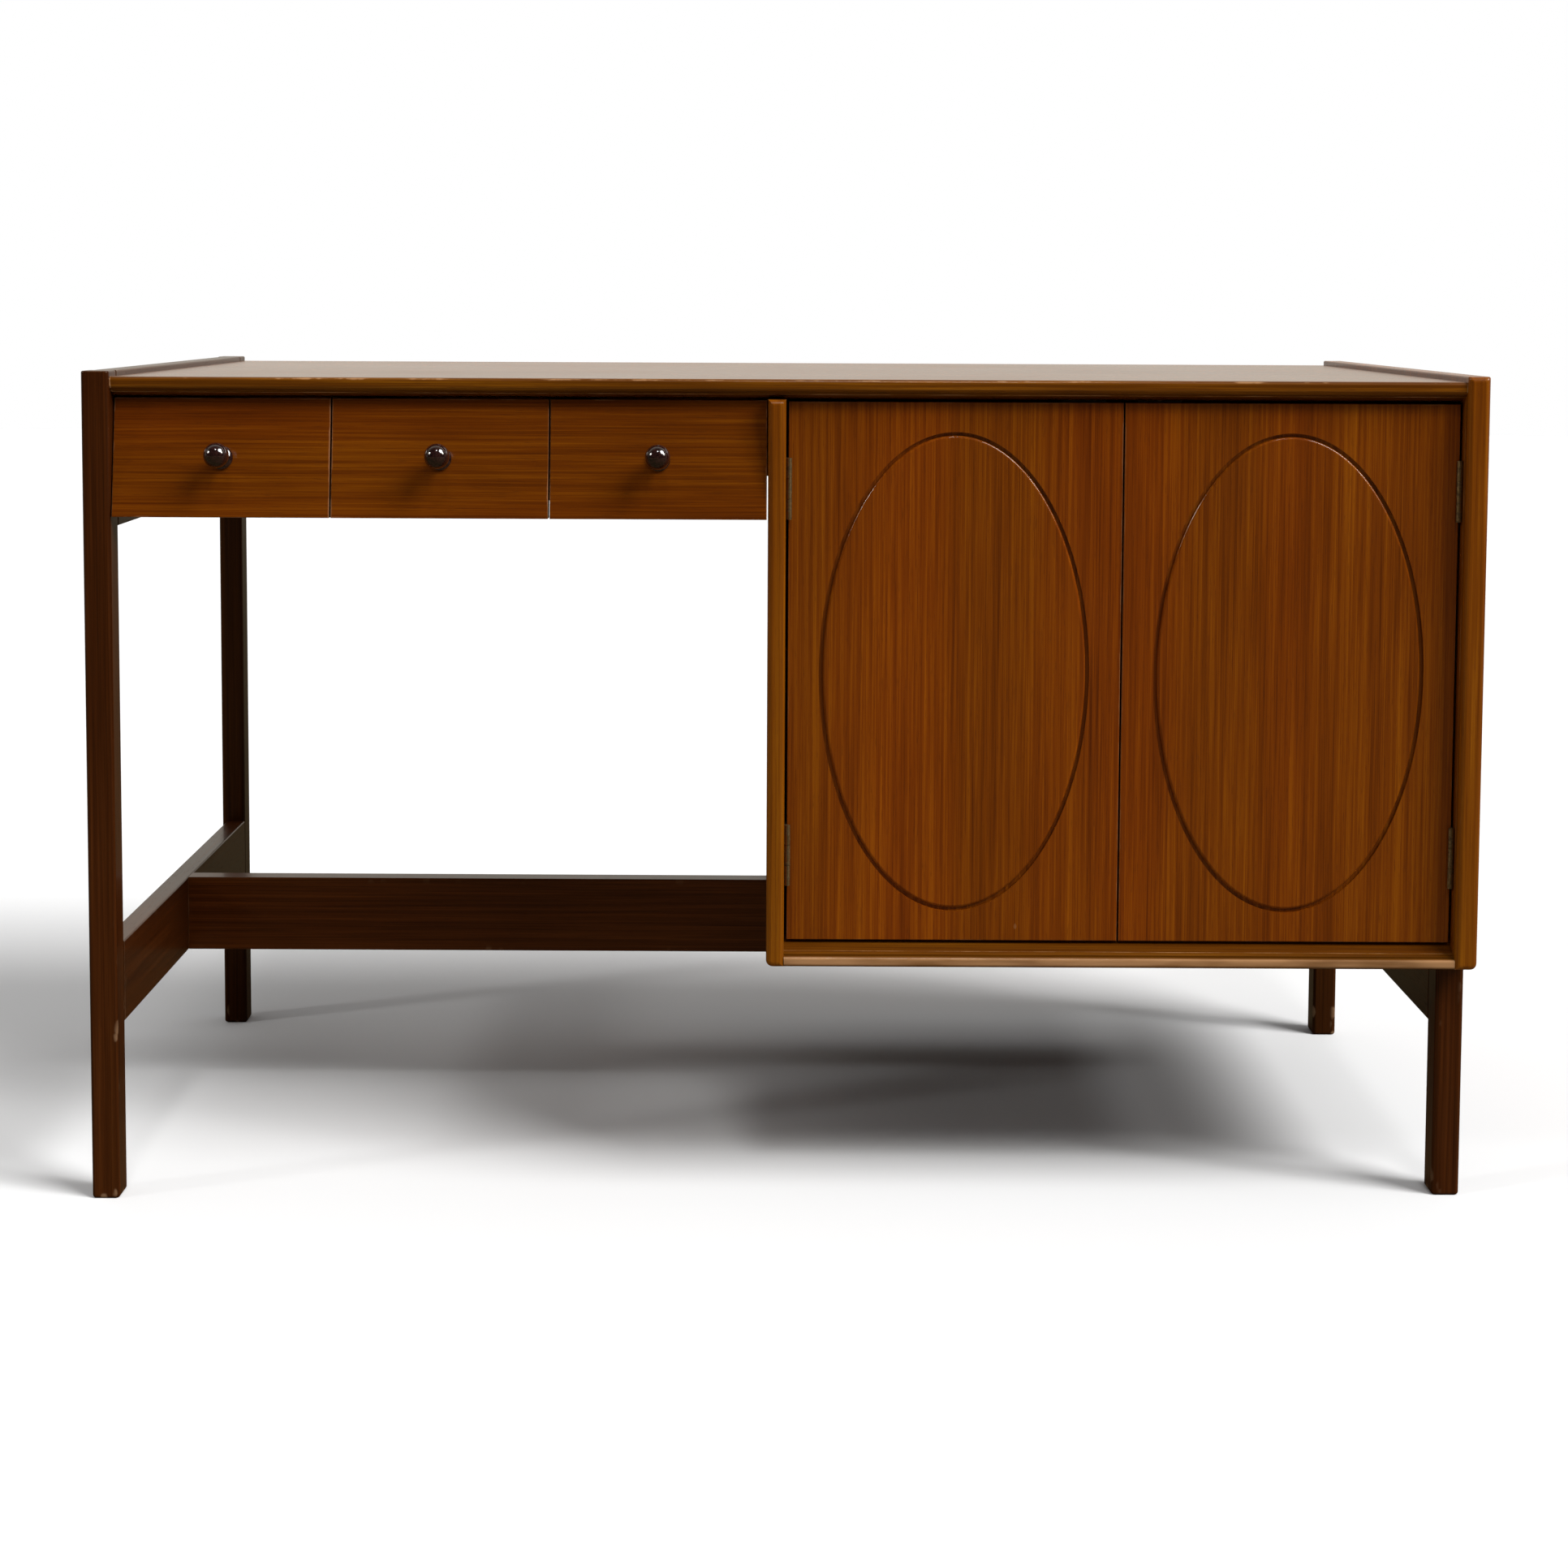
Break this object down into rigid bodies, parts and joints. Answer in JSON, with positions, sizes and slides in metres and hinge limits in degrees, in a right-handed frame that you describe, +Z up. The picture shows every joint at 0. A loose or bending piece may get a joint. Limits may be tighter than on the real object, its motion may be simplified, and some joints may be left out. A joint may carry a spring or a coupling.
{
  "type": "writing desk with drawers",
  "caption": "Writing desk with slanted drawers over an open knee space and a two-door cabinet with oval-grooved doors.",
  "frame": {"origin": "centre of the floor area that the whole desk covers, knobs included, at floor level", "axes": "+X to the desk's right as seen from its front, +Y to its back, +Z up"},
  "size_m": [1.25, 0.6242, 0.75],
  "materials": {
    "teak_veneer": "clear gloss lacquer over mid-brown straight-grained veneer",
    "teak_solid": "clear lacquer over solid wood lipping, worn light on its edges",
    "dark_stain": "dark brown stain under satin lacquer",
    "drawer_wood": "bare planed pale hardwood",
    "plywood": "thin plywood, sealed",
    "knob_lacquer": "turned wood under near-black gloss lacquer",
    "hinge_brass": "dull brass plate",
    "screw_steel": "zinc-plated steel",
    "catch_plastic": "off-white moulded plastic"
  },
  "bodies": {
    "desk": {"left_front_leg": "dark_stain", "left_rear_leg": "dark_stain", "left_side_apron": "dark_stain", "left_side_stretcher": "dark_stain", "long_stretcher": "dark_stain", "right_front_leg": "dark_stain", "right_rear_leg": "dark_stain", "right_side_rail": "dark_stain", "desk_top": "teak_veneer", "cabinet_right_side": "teak_veneer", "cabinet_left_side": "teak_veneer", "cabinet_bottom": "teak_veneer", "cabinet_shelf": "teak_veneer", "drawer_case_back_rail": "teak_veneer", "desk_top_front_lipping": "teak_solid", "desk_top_rear_lipping": "teak_solid", "right_side_front_lipping": "teak_solid", "left_side_front_lipping": "teak_solid", "bottom_front_lipping": "teak_solid", "cabinet_back": "plywood", "left_drawer_divider": "drawer_wood", "right_drawer_divider": "drawer_wood", "drawer_runners": "drawer_wood", "frame_dowels": "drawer_wood", "hinge_frame_leaves": "hinge_brass", "hinge_pins": "hinge_brass", "hinge_frame_screws": "hinge_brass", "base_screws": "screw_steel", "catch_screws": "screw_steel", "shelf_pegs": "screw_steel", "door_catches": "catch_plastic"},
    "left_drawer": {"left_drawer_front": "teak_veneer", "left_drawer_left_side": "drawer_wood", "left_drawer_right_side": "drawer_wood", "left_drawer_back": "drawer_wood", "left_drawer_bottom": "plywood", "left_drawer_knob": "knob_lacquer", "left_drawer_knob_screw": "screw_steel"},
    "middle_drawer": {"middle_drawer_front": "teak_veneer", "middle_drawer_left_side": "drawer_wood", "middle_drawer_right_side": "drawer_wood", "middle_drawer_back": "drawer_wood", "middle_drawer_bottom": "plywood", "middle_drawer_knob": "knob_lacquer", "middle_drawer_knob_screw": "screw_steel"},
    "right_drawer": {"right_drawer_front": "teak_veneer", "right_drawer_left_side": "drawer_wood", "right_drawer_right_side": "drawer_wood", "right_drawer_back": "drawer_wood", "right_drawer_bottom": "plywood", "right_drawer_knob": "knob_lacquer", "right_drawer_knob_screw": "screw_steel"},
    "left_door": {"left_door": "teak_veneer", "left_door_hinge_leaves": "hinge_brass", "left_door_hinge_screws": "hinge_brass", "left_door_strike": "screw_steel"},
    "right_door": {"right_door": "teak_veneer", "right_door_hinge_leaves": "hinge_brass", "right_door_hinge_screws": "hinge_brass", "right_door_strike": "screw_steel"}
  },
  "joints": [
    {"name": "left_drawer_slide", "type": "slide", "parent": "desk", "child": "left_drawer", "axis": [0, -1, 0], "range_m": [0, 0.34]},
    {"name": "middle_drawer_slide", "type": "slide", "parent": "desk", "child": "middle_drawer", "axis": [0, -1, 0], "range_m": [0, 0.34]},
    {"name": "right_drawer_slide", "type": "slide", "parent": "desk", "child": "right_drawer", "axis": [0, -1, 0], "range_m": [0, 0.34]},
    {"name": "left_door_hinge", "type": "hinge", "parent": "desk", "child": "left_door", "pos_m": [0.0039, -0.27378, 0.48125], "axis": [0, 0, -1], "range_deg": [0, 90]},
    {"name": "right_door_hinge", "type": "hinge", "parent": "desk", "child": "right_door", "pos_m": [0.6021, -0.27378, 0.48125], "axis": [0, 0, 1], "range_deg": [0, 90]}
  ]
}
